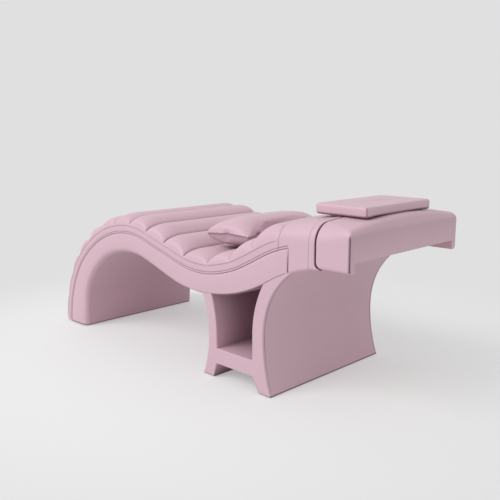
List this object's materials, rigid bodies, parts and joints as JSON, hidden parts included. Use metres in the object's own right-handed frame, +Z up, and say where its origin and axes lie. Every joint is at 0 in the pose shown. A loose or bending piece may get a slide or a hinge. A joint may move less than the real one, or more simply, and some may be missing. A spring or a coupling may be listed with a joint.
{
  "type": "curved treatment bed",
  "caption": "Wave-shaped upholstered treatment bed with a channel-quilted top, a plain head, a waisted pedestal with a towel niche, a loose head pad and a lumbar pillow.",
  "frame": {"origin": "on the floor below the middle of the bed's box", "axes": "+X along the bed from foot to head, +Y across it away from the viewer, +Z up"},
  "size_m": [1.8294, 0.7, 0.7298],
  "materials": {
    "pink_leatherette": "soft dusty pink leatherette with a fine grain and a low sheen",
    "underside_leatherette": "the same leatherette, stretched plain over the underside",
    "plywood": "bare plywood, hidden inside",
    "foam": "cut upholstery foam, hidden inside",
    "steel": "zinc-plated, hidden inside",
    "glide_plastic": "black nail-on glides"
  },
  "bodies": {
    "bed": {"quilted_top": "pink_leatherette", "fascia_near": "pink_leatherette", "fascia_far": "pink_leatherette", "border_band_near": "pink_leatherette", "border_band_far": "pink_leatherette", "shoulder_wrap": "pink_leatherette", "head_wrap": "pink_leatherette", "head_end_panel": "pink_leatherette", "belly_panel": "underside_leatherette", "pedestal_foot_panel": "pink_leatherette", "pedestal_head_panel": "pink_leatherette", "towel_shelf": "pink_leatherette", "niche_divider": "pink_leatherette", "side_rib_near": "plywood", "side_rib_far": "plywood", "centre_rib": "plywood", "sole_board": "plywood", "cross_slats": "plywood", "neck_rail": "plywood", "neck_end_board": "plywood", "head_bottom_board": "plywood", "head_deck_board": "plywood", "head_side_rail_near": "plywood", "head_side_rail_far": "plywood", "head_end_rail": "plywood", "deck_panel": "plywood", "foam_core": "foam", "head_arms": "steel", "head_bolts": "steel", "saddle_studs": "steel", "pedestal_glides": "glide_plastic", "foot_glides": "glide_plastic"},
    "head_pad": {"head_pad": "pink_leatherette"},
    "lumbar_pillow": {"lumbar_pillow": "pink_leatherette"}
  },
  "joints": [
    {"name": "head_pad_lift", "type": "slide", "parent": "bed", "child": "head_pad", "axis": [0, 0, 1], "range_m": [0, 0.25]},
    {"name": "lumbar_pillow_lift", "type": "slide", "parent": "bed", "child": "lumbar_pillow", "axis": [0, 0, 1], "range_m": [0, 0.25]}
  ]
}
